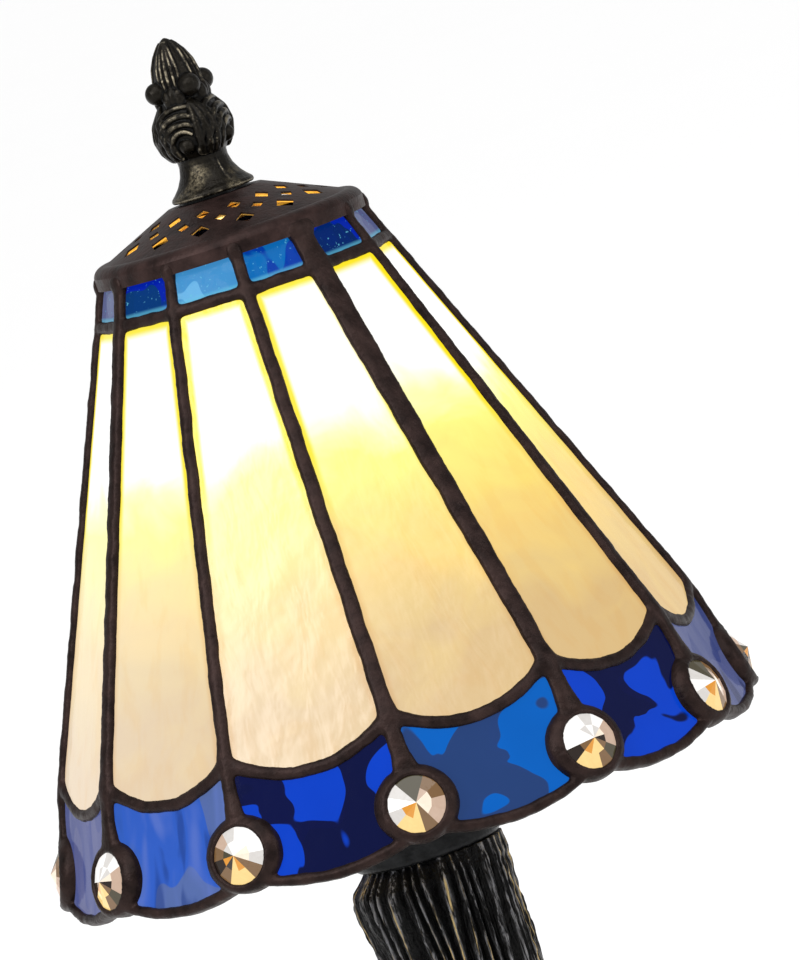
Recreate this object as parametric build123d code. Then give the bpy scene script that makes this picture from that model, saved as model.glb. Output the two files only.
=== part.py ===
from build123d import *
import math
import os

# Table lamp with a twelve-sided leaded glass shade on a cast tree-trunk base.
# Millimetres, +Z up. The origin is on the table, under the middle of the lamp, and -Y is the front.
# One solder rib of the shade, with its jewel, faces the front.

# ---------------------------------------------------------------- driving dimensions

SIDES = 12
SECTOR = 360 / SIDES
FRONT = -90.0

# Corner rings of the shade's outer glass surface: (radius at a corner, height).
TILE_TOP = (36.3, 323.0)
TOP_SEAM = (41.1, 311.6)
LOW_SEAM = (89.2, 196.9)
JEWEL_RING = (96.2, 173.0)

GLASS = 3.0
GLASS_TO_RIB = 0.75
GLASS_EDGE_GAP = 0.7
LOW_SEAM_SAG = 7.6
RIM_CORNER_Z = 167.5
RIM_MIDDLE_Z = 162.0

RIB_WIDTH = 4.4
SEAM_WIDTH = 3.5
RIM_WIDTH = 3.0
BEAD_PROUD = 1.4
RIB_TOP_Z = 320.0
RIB_FOOT_Z = 166.0
RIB_FLATS = 12

JEWEL_RADIUS = 8.0
JEWEL_FACETS = 12
# Heights along a jewel's axis, from the corner of the outer glass surface.
JEWEL_FRONT = 4.0
JEWEL_BACK = -2.4
JEWEL_GIRDLE = (0.4, 1.0)
BEZEL_RADIUS = 11.8
BEZEL_BORE = 8.05
BEZEL_LIP = 7.6
BEZEL_LIP_H = (1.25, 1.6)
BEZEL_CREST = (8.8, 1.8)
BEZEL_FLANK = (10.9, 0.5)
BEZEL_EDGE_H = -1.4
BEZEL_BOTTOM_H = -5.0
SLEEVE_RADIUS = 10.8
SLEEVE_H = (-6.0, -0.2)

CAP_SHEET = 0.8
CAP_RADIUS = 38.2
CAP_RIM_Z = 321.4
CAP_LIP = 3.4
CAP_SHOULDER = (34.1, 327.4)
CAP_FLAT_Z = 336.4
CAP_FLAT_RADIUS = 13.4
CAP_HOLE = 3.6
VENTS_PER_ROW = 14
VENT_PHASE = 11.5
# (distance from the axis, width, length down the slope, shift in half pitches)
VENT_ROWS = ((28.4, 6.0, 6.5, 0), (24.0, 4.2, 3.75, 1), (19.8, 4.6, 5.0, 0))

FINIAL_Z = 337.2
FINIAL_HEIGHT = 44.0
FINIAL_BORE = 3.2
STUD_RADIUS = 3.15
STUD_TOP_Z = 345.7
STACK_GAP = 0.1

PIPE_RADIUS = 5.0
PIPE_BORE = 3.3
PIPE_BOTTOM_Z = 5.8
PIPE_TOP_Z = 172.0
PIPE_HOLE = PIPE_RADIUS + 0.1

TRUNK_BOTTOM_Z = 2.0
TRUNK_TOP_Z = 148.0
BARK_RIDGES = 24
ROOTS = 7
# (height, mean radius, bark depth, root depth)
TRUNK_SECTIONS = (
    (TRUNK_BOTTOM_Z, 56.0, 1.6, 6.0),
    (7.0, 51.5, 1.8, 5.5),
    (15.0, 41.5, 1.5, 3.5),
    (28.0, 31.5, 1.3, 2.0),
    (48.0, 24.8, 1.1, 1.0),
    (80.0, 21.5, 1.0, 0.5),
    (112.0, 20.7, 1.0, 0.3),
    (132.0, 21.8, 1.0, 0.2),
    (142.0, 22.1, 0.9, 0.0),
    (TRUNK_TOP_Z, 20.4, 0.5, 0.0),
)
BASE_RECESS = 34.0
BASE_RECESS_TOP_Z = 13.0
BASE_PLATE = 2.5
NUT_FLATS = 16.0
BALLAST_TOP_Z = 62.0
BALLAST_FOOT = 31.0
BALLAST_TIP = 15.0
FELT_RADIUS = 47.0

BUSHING_Z = 6.9
BUSHING_RADIUS = 4.2
BUSHING_BORE = 3.2
BUSHING_Y = (34.1, 51.0)

COLLAR_RADIUS = 20.8
COLLAR_TOP_Z = 155.0
COLLAR_ROUND = 1.6
SADDLE_SHEET = 1.5
HARP_HALF_WIDTH = 31.0
HARP_WIRE = 1.6
HARP_FOOT_X = 29.0
HARP_FOOT_Z = 170.0
HARP_TOP_Z = 331.0
HARP_STRAIGHT_Z = (205.0, 288.0)
HARP_SHOULDER_X = 12.0
HARP_BEND = 9.0

SOCKET_RADIUS = 17.0
SOCKET_SHEET = 0.5
SOCKET_CAP_BOTTOM_Z = 157.0
SOCKET_CAP_SHEET = 1.0
SOCKET_SPLIT_Z = 176.0
SOCKET_TOP_Z = 222.0
SCREW_SHELL_Z = (203.0, 221.0)
KNOB_Z = 189.0
BULB_RADIUS = 24.0
BULB_CENTRE_Z = 272.0
BULB_CAP_RADIUS = 13.1
BULB_CAP_Z = (206.0, 229.0)
BULB_GLASS = 0.8

APOTHEM = math.cos(math.pi / SIDES)
HALF_SIDE = math.sin(math.pi / SIDES)

os.makedirs("parts", exist_ok=True)


# ---------------------------------------------------------------- helpers


def save(name, shape):
    """Write one named piece, or a group of identical pieces, as parts/NAME.step."""
    shape.label = name
    export_step(shape, f"parts/{name}.step")


def biggest(shape):
    """The main solid of a cut shape, without any crumbs the cut left."""
    return max(shape.solids(), key=lambda solid: solid.volume)


def around(solid, count=SIDES, start=0.0):
    """Copies of a solid, evenly spaced about the lamp's axis."""
    return [Rot(0, 0, start + index * 360 / count) * solid for index in range(count)]


def group(solids):
    """Identical separate solids that share one node."""
    return Compound(children=list(solids))


def ring(outer, inner, bottom, top):
    """Plain tube or washer about the lamp's axis."""
    blank = Pos(0, 0, bottom) * Cylinder(outer, top - bottom, align=(Align.CENTER, Align.CENTER, Align.MIN))
    if inner <= 0:
        return blank
    return blank - Pos(0, 0, bottom) * Cylinder(
        inner, top - bottom, align=(Align.CENTER, Align.CENTER, Align.MIN)
    )


def turned(*outline):
    """Solid of revolution about the lamp's axis from the edges of an (radius, height) outline."""
    face = make_face(list(outline))
    return revolve(Plane.XZ * face, axis=Axis.Z)


def turned_points(*points):
    """Solid of revolution from the corners of an (radius, height) outline."""
    return revolve(Plane.XZ * make_face(Polyline(*points, close=True)), axis=Axis.Z)


# ---------------------------------------------------------------- shade: one sector, facing +X
# Every side of the shade is made facing +X, with its two corner ribs at +-15 degrees, and the
# rib pieces are made at 0 degrees. Copies are then turned about the lamp's axis.


def on_line(upper, lower, height):
    """Radius at a height on the line through two corner rings."""
    share = (upper[1] - height) / (upper[1] - lower[1])
    return upper[0] + share * (lower[0] - upper[0])


def side_plane(upper, lower):
    """Outer face of a flat side: local x runs round the shade, local y up the slope."""
    spread = (lower[0] - upper[0]) * APOTHEM
    return Plane(
        origin=(upper[0] * APOTHEM, 0, upper[1]),
        x_dir=(0, 1, 0),
        z_dir=(upper[1] - lower[1], 0, spread),
    )


def down_slope(upper, lower, height):
    """Local (half width, y) on a side's corner edge at a height."""
    cosine = (upper[1] - lower[1]) / math.hypot(
        upper[1] - lower[1], (lower[0] - upper[0]) * APOTHEM
    )
    return on_line(upper, lower, height) * HALF_SIDE, (height - upper[1]) / cosine


def pane(upper, lower, top_z, bottom_z, top_sag_z, bottom_sag_z):
    """Flat glass pane between two seams; each end may bow down to its own middle height."""
    top_half, top_y = down_slope(upper, lower, top_z)
    low_half, low_y = down_slope(upper, lower, bottom_z)
    top_middle = down_slope(upper, lower, top_sag_z)[1]
    low_middle = down_slope(upper, lower, bottom_sag_z)[1]
    top_half -= GLASS_TO_RIB
    low_half -= GLASS_TO_RIB
    edges = [
        Line((low_half, low_y), (top_half, top_y)),
        Line((-top_half, top_y), (-low_half, low_y)),
    ]
    if top_sag_z == top_z:
        edges.append(Line((top_half, top_y), (-top_half, top_y)))
    else:
        edges.append(ThreePointArc((top_half, top_y), (0, top_middle), (-top_half, top_y)))
    if bottom_sag_z == bottom_z:
        edges.append(Line((-low_half, low_y), (low_half, low_y)))
    else:
        edges.append(ThreePointArc((-low_half, low_y), (0, low_middle), (low_half, low_y)))
    outline = offset(make_face(edges), amount=-GLASS_EDGE_GAP, kind=Kind.INTERSECTION)
    return biggest(side_plane(upper, lower) * extrude(outline, amount=-GLASS))


def bead_section(width):
    """Oval solder section: local y points out of the glass, centred in the glass's thickness."""
    return Ellipse(width / 2, GLASS / 2 + BEAD_PROUD)


def seam(upper, lower, end_z, middle_z, width):
    """Solder seam across one side, from corner to corner, bowed down to its middle height."""
    plane = side_plane(upper, lower)
    half, end_y = down_slope(upper, lower, end_z)
    middle_y = down_slope(upper, lower, middle_z)[1]
    depth = -GLASS / 2
    ends = [plane.from_local_coords((side * half, end_y, depth)) for side in (-1, 1)]
    if middle_z == end_z:
        path = Line(*ends)
    else:
        path = ThreePointArc(ends[0], plane.from_local_coords((0, middle_y, depth)), ends[1])
    along = path.tangent_at(0)
    section_plane = Plane(origin=ends[0], x_dir=along.cross(plane.z_dir), z_dir=along)
    return sweep(section_plane * bead_section(width), path=path)


def rib_bead():
    """Solder rib down one corner, from under the cap to the jewel, bent where the skirt begins."""
    lowest = (on_line(LOW_SEAM, JEWEL_RING, RIB_FOOT_Z), RIB_FOOT_Z)
    rings = ((on_line(TOP_SEAM, LOW_SEAM, RIB_TOP_Z), RIB_TOP_Z), LOW_SEAM, lowest)
    corners = [Vector(radius - GLASS / 2, 0, height) for radius, height in rings]
    runs = [(lower - upper).normalized() for upper, lower in zip(corners, corners[1:])]
    ways = (runs[0], (runs[0] + runs[1]).normalized(), runs[1])
    oval = []
    for index in range(RIB_FLATS):
        turn = 2 * math.pi * (index + 0.5) / RIB_FLATS
        oval.append((RIB_WIDTH / 2 * math.cos(turn), (GLASS / 2 + BEAD_PROUD) * math.sin(turn)))
    outline = make_face(Polyline(*oval, close=True)).face()
    slices = []
    for corner, way in zip(corners, ways):
        slices.append(Plane(origin=corner, x_dir=(0, 1, 0), z_dir=way) * outline)
    return loft(slices, ruled=True)


def jewel_plane():
    """Seat of a jewel on the corner of the skirt: local z is the jewel's axis, pointing outwards."""
    run = JEWEL_RING[0] - LOW_SEAM[0]
    drop = LOW_SEAM[1] - JEWEL_RING[1]
    return Plane(origin=(JEWEL_RING[0], 0, JEWEL_RING[1]), x_dir=(0, 1, 0), z_dir=(drop, 0, run))


def skirt_slab(side):
    """Thick block under the skirt's outer face, on one side of a corner."""
    plane = side_plane(LOW_SEAM, JEWEL_RING)
    block = plane * (Pos(0, -25, -10) * Box(60, 60, 20))
    return Rot(0, 0, side * SECTOR / 2) * block


def bezel():
    """Domed solder ring round a jewel: a flange over the glass and a sleeve through it."""
    lip_low, lip_high = BEZEL_LIP_H
    flange = make_face(
        [
            Line((BEZEL_LIP, lip_low), (BEZEL_LIP, lip_high)),
            Spline((BEZEL_LIP, lip_high), BEZEL_CREST, BEZEL_FLANK, (BEZEL_RADIUS, BEZEL_EDGE_H)),
            Line((BEZEL_RADIUS, BEZEL_EDGE_H), (BEZEL_RADIUS, BEZEL_BOTTOM_H)),
            Line((BEZEL_RADIUS, BEZEL_BOTTOM_H), (BEZEL_BORE, BEZEL_BOTTOM_H)),
            Line((BEZEL_BORE, BEZEL_BOTTOM_H), (BEZEL_BORE, lip_low)),
            Line((BEZEL_BORE, lip_low), (BEZEL_LIP, lip_low)),
        ]
    )
    dome = revolve(Plane.XZ * flange, axis=Axis.Z)
    sleeve = ring(SLEEVE_RADIUS, BEZEL_BORE, *SLEEVE_H)
    place = jewel_plane()
    dome = place * dome
    for side in (-1, 1):
        dome = dome - skirt_slab(side)
    return biggest(dome + place * sleeve)


def crystal():
    """Faceted jewel: a shallow cone of facets on each side of a thin girdle."""
    girdle_low, girdle_high = JEWEL_GIRDLE
    outline = RegularPolygon(JEWEL_RADIUS, JEWEL_FACETS)
    front = loft([Pos(0, 0, girdle_high) * outline.face(), Vertex(0, 0, JEWEL_FRONT)])
    back = loft([Pos(0, 0, girdle_low) * outline.face(), Vertex(0, 0, JEWEL_BACK)])
    band = extrude(Pos(0, 0, girdle_low) * outline, amount=girdle_high - girdle_low)
    return biggest(jewel_plane() * (front + band + back))


def build_shade():
    """Panes, solder and jewels of the shade."""
    middle_low = LOW_SEAM[1] - LOW_SEAM_SAG
    tile = pane(TOP_SEAM, LOW_SEAM, TILE_TOP[1], TOP_SEAM[1], TILE_TOP[1], TOP_SEAM[1])
    cream = pane(TOP_SEAM, LOW_SEAM, TOP_SEAM[1], LOW_SEAM[1], TOP_SEAM[1], middle_low)
    skirt = pane(LOW_SEAM, JEWEL_RING, LOW_SEAM[1], RIM_CORNER_Z, middle_low, RIM_MIDDLE_Z)
    sleeve_hole = jewel_plane() * (Pos(0, 0, -4) * Cylinder(SLEEVE_RADIUS + 0.1, 20))
    for side in (-0.5, 0.5):
        skirt = skirt - Rot(0, 0, side * SECTOR) * sleeve_hole
    skirt = biggest(skirt)

    jewel_ring = bezel()
    panes = [Rot(0, 0, side * SECTOR) * shape for side in (-0.5, 0.5) for shape in (tile, cream, skirt)]
    rib = rib_bead() - sleeve_hole - jewel_ring
    for shape in panes:
        rib = rib - shape
    rib = biggest(rib)

    top_seam = seam(TOP_SEAM, LOW_SEAM, TOP_SEAM[1], TOP_SEAM[1], SEAM_WIDTH)
    low_seam = seam(LOW_SEAM, JEWEL_RING, LOW_SEAM[1], middle_low, SEAM_WIDTH)
    rim = seam(LOW_SEAM, JEWEL_RING, RIM_CORNER_Z, RIM_MIDDLE_Z, RIM_WIDTH)
    seams = []
    for bead in (top_seam, low_seam, rim):
        for shape in (tile, cream, skirt):
            bead = bead - shape
        for side in (-0.5, 0.5):
            turn = Rot(0, 0, side * SECTOR)
            bead = bead - turn * rib_bead() - turn * sleeve_hole - turn * jewel_ring
        seams.append(biggest(bead))

    first_side = FRONT + SECTOR / 2
    for name, shape in (("cream_panel", cream), ("skirt_tile", skirt)):
        for number, copy in enumerate(around(shape, start=first_side), start=1):
            save(f"{name}_{number:02d}", copy)
    save("top_tiles", group(around(tile, start=first_side)))
    save("top_seams", group(around(seams[0], start=first_side)))
    save("scallop_seams", group(around(seams[1], start=first_side)))
    save("rim_seams", group(around(seams[2], start=first_side)))
    save("solder_ribs", group(around(rib, start=FRONT)))
    save("jewel_bezels", group(around(jewel_ring, start=FRONT)))
    save("crystal_jewels", group(around(crystal(), start=FRONT)))


# ---------------------------------------------------------------- shade: vent cap


def vent_cap():
    """Spun sheet cap with a vertical lip, a shallow cone and three rows of diamond vents."""
    slope = math.atan2(CAP_FLAT_Z - CAP_SHOULDER[1], CAP_SHOULDER[0] - CAP_FLAT_RADIUS)
    inward = (CAP_SHEET * math.sin(slope), CAP_SHEET * math.cos(slope))
    lip_top = CAP_RIM_Z + CAP_LIP
    inner_radius = CAP_RADIUS - CAP_SHEET
    inner_shoulder = (CAP_SHOULDER[0] - inward[0], CAP_SHOULDER[1] - inward[1])
    inner_flat = CAP_FLAT_Z - CAP_SHEET
    inner_flat_radius = inner_shoulder[0] - (inner_flat - inner_shoulder[1]) / math.tan(slope)
    bulge = 0.75 * (CAP_RADIUS - CAP_SHOULDER[0])
    outer_knee = (CAP_SHOULDER[0] + bulge, lip_top + 1.75)
    inner_knee = (inner_shoulder[0] + bulge, lip_top + 1.15)
    cap = turned(
        Line((CAP_RADIUS, CAP_RIM_Z), (CAP_RADIUS, lip_top)),
        ThreePointArc((CAP_RADIUS, lip_top), outer_knee, CAP_SHOULDER),
        Line(CAP_SHOULDER, (CAP_FLAT_RADIUS, CAP_FLAT_Z)),
        Line((CAP_FLAT_RADIUS, CAP_FLAT_Z), (CAP_HOLE, CAP_FLAT_Z)),
        Line((CAP_HOLE, CAP_FLAT_Z), (CAP_HOLE, inner_flat)),
        Line((CAP_HOLE, inner_flat), (inner_flat_radius, inner_flat)),
        Line((inner_flat_radius, inner_flat), inner_shoulder),
        ThreePointArc(inner_shoulder, inner_knee, (inner_radius, lip_top)),
        Line((inner_radius, lip_top), (inner_radius, CAP_RIM_Z)),
        Line((inner_radius, CAP_RIM_Z), (CAP_RADIUS, CAP_RIM_Z)),
    )
    pitch = 360 / VENTS_PER_ROW
    for radius, width, length, shift in VENT_ROWS:
        height = CAP_SHOULDER[1] + (CAP_SHOULDER[0] - radius) * math.tan(slope)
        diamond = Polyline((width / 2, 0), (0, length / 2), (-width / 2, 0), (0, -length / 2), close=True)
        surface = Plane(
            origin=(radius, 0, height), x_dir=(0, 1, 0), z_dir=(math.sin(slope), 0, math.cos(slope))
        )
        vent = surface * extrude(make_face(diamond), amount=2.5, both=True)
        start = FRONT + VENT_PHASE + shift * pitch / 2
        cap = cap - around(biggest(vent), VENTS_PER_ROW, start)
    return biggest(cap)


def cap_ring():
    """Solder ring inside the cap's lip that joins the tops of the tiles to the cap."""
    return ring(36.3, 31.5, TILE_TOP[1] - 0.6, 325.6)


# ---------------------------------------------------------------- finial


def finial():
    """Cast bud finial, turned outline, with a tapped hole in its foot for the stud."""
    profile = Spline(
        (11.7, FINIAL_Z + 1.2),
        (10.4, FINIAL_Z + 4.0),
        (7.4, FINIAL_Z + 8.5),
        (7.6, FINIAL_Z + 12.0),
        (10.4, FINIAL_Z + 16.0),
        (11.4, FINIAL_Z + 19.6),
        (10.2, FINIAL_Z + 24.0),
        (7.2, FINIAL_Z + 28.0),
    )
    bud = Spline(
        (7.2, FINIAL_Z + 28.0),
        (8.4, FINIAL_Z + 31.5),
        (6.8, FINIAL_Z + 35.0),
        (4.2, FINIAL_Z + 39.5),
        (0, FINIAL_Z + FINIAL_HEIGHT),
        tangents=((0.5, 1), (-1, 0)),
    )
    bore_top = STUD_TOP_Z + 1.5
    return turned(
        Line((FINIAL_BORE, FINIAL_Z), (11.2, FINIAL_Z)),
        Line((11.2, FINIAL_Z), (11.7, FINIAL_Z + 1.2)),
        profile,
        bud,
        Line((0, FINIAL_Z + FINIAL_HEIGHT), (0, bore_top)),
        Line((0, bore_top), (FINIAL_BORE, bore_top)),
        Line((FINIAL_BORE, bore_top), (FINIAL_BORE, FINIAL_Z)),
    )


# ---------------------------------------------------------------- harp and its hardware


def harp():
    """Bent wire bow that carries the shade, made as one round rod."""
    straight_low, straight_high = HARP_STRAIGHT_Z
    path = FilletPolyline(
        (-HARP_FOOT_X, 0, HARP_FOOT_Z),
        (-HARP_HALF_WIDTH, 0, straight_low),
        (-HARP_HALF_WIDTH, 0, straight_high),
        (-HARP_SHOULDER_X, 0, HARP_TOP_Z),
        (HARP_SHOULDER_X, 0, HARP_TOP_Z),
        (HARP_HALF_WIDTH, 0, straight_high),
        (HARP_HALF_WIDTH, 0, straight_low),
        (HARP_FOOT_X, 0, HARP_FOOT_Z),
        radius=HARP_BEND,
    )
    section = Plane(origin=path @ 0, z_dir=path.tangent_at(0)) * Circle(HARP_WIRE)
    return sweep(section, path=path)


def harp_saddle():
    """Flat strip clamped under the socket, with two upright prongs for the harp."""
    bottom = COLLAR_TOP_Z
    strip_length = 2 * (HARP_FOOT_X + 1.2)
    low = (Align.CENTER, Align.CENTER, Align.MIN)
    saddle = Pos(0, 0, bottom) * Box(strip_length, 9, SADDLE_SHEET, align=low)
    saddle = saddle + Pos(0, 0, bottom) * Cylinder(13, SADDLE_SHEET, align=low)
    for side in (-1, 1):
        saddle = saddle + Pos(side * HARP_FOOT_X, 0, bottom) * Box(2.4, 3.6, 14.5, align=low)
    return saddle - Pos(0, 0, bottom) * Cylinder(PIPE_HOLE, 40)


def harp_ferrules():
    """Short sleeves that lock the harp's feet on the saddle's prongs."""
    return [Pos(side * HARP_FOOT_X, 0, 0) * ring(3.4, 2.25, 160.0, 176.0) for side in (-1, 1)]


def harp_stud():
    """Foot, rest plate for the shade and threaded stud at the top of the harp."""
    wire_top = HARP_TOP_Z + HARP_WIRE
    plate_top = CAP_FLAT_Z - CAP_SHEET - STACK_GAP
    return turned_points(
        (0, wire_top),
        (5, wire_top),
        (5, plate_top - 1.6),
        (11, plate_top - 1.6),
        (11, plate_top),
        (STUD_RADIUS, plate_top),
        (STUD_RADIUS, STUD_TOP_Z - 0.8),
        (STUD_RADIUS - 0.8, STUD_TOP_Z),
        (0, STUD_TOP_Z),
    )


# ---------------------------------------------------------------- lamp holder and bulb


def socket_cap():
    """Brass cup under the lamp holder."""
    bottom = SOCKET_CAP_BOTTOM_Z
    floor = bottom + SOCKET_CAP_SHEET
    rim_radius = SOCKET_RADIUS + 0.6
    outline = [
        Line((PIPE_HOLE, bottom), (10.4, bottom)),
        Spline((10.4, bottom), (13.6, bottom + 4), (16.6, bottom + 11), (rim_radius, SOCKET_SPLIT_Z)),
        Line((rim_radius, SOCKET_SPLIT_Z), (SOCKET_RADIUS, SOCKET_SPLIT_Z)),
        Spline((SOCKET_RADIUS, SOCKET_SPLIT_Z), (16.0, bottom + 11.4), (13.0, bottom + 4.5), (10.2, floor)),
        Line((10.2, floor), (PIPE_HOLE, floor)),
        Line((PIPE_HOLE, floor), (PIPE_HOLE, bottom)),
    ]
    return turned(*outline)


def socket_shell():
    """Brass tube of the lamp holder, with a rolled bead at its top and a hole for the knob's spindle."""
    shell = ring(SOCKET_RADIUS, SOCKET_RADIUS - SOCKET_SHEET, SOCKET_SPLIT_Z, SOCKET_TOP_Z)
    bead = Pos(0, 0, SOCKET_TOP_Z - 1) * Torus(SOCKET_RADIUS, 0.9)
    hole = Pos(0, SOCKET_RADIUS, KNOB_Z) * Rot(90, 0, 0) * Cylinder(3.0, 8)
    return biggest(shell + bead - hole)


def socket_liner():
    """Insulating fibre sleeve inside the shell."""
    outer = SOCKET_RADIUS - SOCKET_SHEET - 0.1
    hole = Pos(0, SOCKET_RADIUS, KNOB_Z) * Rot(90, 0, 0) * Cylinder(3.0, 8)
    return biggest(ring(outer, outer - 0.9, SOCKET_SPLIT_Z + 0.5, SOCKET_TOP_Z - 3) - hole)


def socket_body():
    """Moulded block that holds the rotary switch, the contact and the screw shell."""
    block = ring(14.8, 0, 177.0, 201.0)
    spindle_hole = Pos(0, 10, KNOB_Z) * Rot(90, 0, 0) * Cylinder(2.1, 16)
    rotor_space = Pos(0, 0, KNOB_Z) * Box(8, 8, 8)
    return biggest(block - spindle_hole - rotor_space)


def screw_shell():
    """Threaded contact shell of the holder, drawn as its plain sleeve."""
    low, high = SCREW_SHELL_Z
    shell = ring(13.9, 13.4, low, high)
    return shell + ring(13.9, 9.0, low, low + 0.5)


def centre_contact():
    """Spring tongue under the bulb's tip."""
    return ring(3.0, 0, 201.0, 203.6)


def switch_knob():
    """Turn knob with its spindle, through the back of the lamp holder."""
    spindle = Pos(0, 11.0, KNOB_Z) * Rot(-90, 0, 0) * Cylinder(2.0, 22)
    rotor = Pos(0, 0, KNOB_Z) * Box(5.0, 5.0, 5.0)
    grip = Pos(0, 24.0, KNOB_Z) * Rot(-90, 0, 0) * Cylinder(3.4, 6.0)
    blade = Pos(0, 30.0, KNOB_Z) * Box(12.0, 8.0, 3.2)
    blade = fillet(blade.edges().filter_by(Axis.Z), 3.0)
    return spindle + rotor + grip + blade


def bulb_glass():
    """Pear-shaped bulb: a sphere that runs down into the neck."""
    neck = BULB_CAP_RADIUS - 1.3
    join = 40
    around_x = BULB_RADIUS * math.cos(math.radians(join))
    around_z = BULB_CENTRE_Z - BULB_RADIUS * math.sin(math.radians(join))
    inner = BULB_RADIUS - BULB_GLASS
    inner_x = inner * math.cos(math.radians(join))
    inner_z = BULB_CENTRE_Z - inner * math.sin(math.radians(join))
    slope = (-math.sin(math.radians(join)), -math.cos(math.radians(join)))
    top = BULB_CENTRE_Z + BULB_RADIUS
    inner_top = BULB_CENTRE_Z + inner
    bottom = BULB_CAP_Z[1] - 5
    return turned(
        Line((neck - BULB_GLASS, bottom), (neck, bottom)),
        Spline(
            (neck, bottom),
            (neck + 1.0, bottom + 9),
            (around_x, around_z),
            tangents=((0, 1), (-slope[0], -slope[1])),
        ),
        ThreePointArc((around_x, around_z), (BULB_RADIUS, BULB_CENTRE_Z), (0, top)),
        Line((0, top), (0, inner_top)),
        ThreePointArc((0, inner_top), (inner, BULB_CENTRE_Z), (inner_x, inner_z)),
        Spline(
            (inner_x, inner_z),
            (neck + 0.2, bottom + 9),
            (neck - BULB_GLASS, bottom),
            tangents=(slope, (0, -1)),
        ),
    )


def bulb_screw_cap():
    """Threaded metal cap of the bulb, drawn as its sleeve with a closed, tapered foot."""
    low, high = BULB_CAP_Z
    return turned_points(
        (4.5, low + 1.0),
        (9.0, low + 1.0),
        (BULB_CAP_RADIUS, low + 5.0),
        (BULB_CAP_RADIUS, high),
        (BULB_CAP_RADIUS - 0.6, high),
        (BULB_CAP_RADIUS - 0.6, low + 5.4),
        (8.8, low + 1.8),
        (4.5, low + 1.8),
    )


def bulb_contact():
    """Insulator and contact button at the bulb's foot."""
    low = BULB_CAP_Z[0]
    return turned_points((0, low - 2.3), (3.0, low - 2.3), (4.4, low + 1.0), (4.4, low + 3.0), (0, low + 3.0))


# ---------------------------------------------------------------- base


def trunk_point(angle, mean, bark, root):
    """One point on the bark: ridges of uneven depth round the trunk, and roots that spread out."""
    turn = math.radians(angle)
    ridge = bark * math.cos(BARK_RIDGES * turn) * (1 + 0.35 * math.sin(5 * turn + 1.0))
    radius = mean + ridge + root * math.cos(ROOTS * turn + 0.7)
    drift = 1.2 * math.sin(3 * turn)
    return radius * math.cos(turn + math.radians(drift)), radius * math.sin(turn + math.radians(drift))


def trunk_body():
    """Cast tree trunk with a flared root foot, bored for the pipe and hollow in its foot."""
    step = 360 / (2 * BARK_RIDGES)
    slices = []
    for height, mean, bark, root in TRUNK_SECTIONS:
        corners = [trunk_point(index * step, mean, bark, root) for index in range(2 * BARK_RIDGES)]
        slices.append(Pos(0, 0, height) * make_face(Polyline(*corners, close=True)).face())
    trunk = loft(slices, ruled=True)
    trunk = trunk - ring(BASE_RECESS, 0, TRUNK_BOTTOM_Z - 1, BASE_RECESS_TOP_Z)
    trunk = trunk - ballast_shape(0.1)
    trunk = trunk - ring(PIPE_HOLE, 0, 10, TRUNK_TOP_Z + 5)
    channel = Pos(0, 50, BUSHING_Z) * Rot(90, 0, 0) * Cylinder(BUSHING_RADIUS + 0.05, 60)
    return biggest(trunk - channel)


def ballast_shape(clearance):
    """Tapered weight that fills the trunk's foot, grown by a clearance."""
    return turned_points(
        (0, BASE_RECESS_TOP_Z),
        (BALLAST_FOOT + clearance, BASE_RECESS_TOP_Z),
        (22.0 + clearance, 27.0),
        (BALLAST_TIP + clearance, 45.0),
        (BALLAST_TIP - 2 + clearance, BALLAST_TOP_Z + clearance),
        (0, BALLAST_TOP_Z + clearance),
    )


def collar():
    """Turned disc between the trunk's top and the lamp holder's hardware, rounded at its rim."""
    return fillet(ring(COLLAR_RADIUS, PIPE_HOLE, TRUNK_TOP_Z, COLLAR_TOP_Z).edges(), COLLAR_ROUND)


def hex_nut(across_flats, bottom, thickness):
    """Thin hexagon nut on the pipe."""
    blank = extrude(RegularPolygon(across_flats / 2, 6, major_radius=False), amount=thickness)
    return Pos(0, 0, bottom) * blank - ring(PIPE_HOLE, 0, bottom - 1, bottom + thickness + 1)


def cord_bushing():
    """Flanged bushing in the back of the foot that the cord would leave through."""
    inner_end, outer_end = BUSHING_Y
    sleeve = ring(BUSHING_RADIUS, BUSHING_BORE, 0, outer_end - inner_end)
    return Pos(0, inner_end, BUSHING_Z) * Rot(-90, 0, 0) * sleeve


# ---------------------------------------------------------------- write the pieces

build_shade()
save("vent_cap", vent_cap())
save("cap_ring", cap_ring())

save("finial", finial())
washer_bottom = CAP_FLAT_Z + STACK_GAP
save("finial_washer", ring(10.0, STUD_RADIUS + 0.3, washer_bottom, FINIAL_Z - STACK_GAP))
save("harp", harp())
save("harp_saddle", harp_saddle())
save("harp_ferrules", group(harp_ferrules()))
save("harp_stud", harp_stud())

save("socket_cap", socket_cap())
save("socket_shell", socket_shell())
save("socket_liner", socket_liner())
save("socket_body", socket_body())
save("socket_screw_shell", screw_shell())
save("centre_contact", centre_contact())
save("switch_knob", switch_knob())
save("bulb_glass", bulb_glass())
save("bulb_screw_cap", bulb_screw_cap())
save("bulb_contact", bulb_contact())

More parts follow.
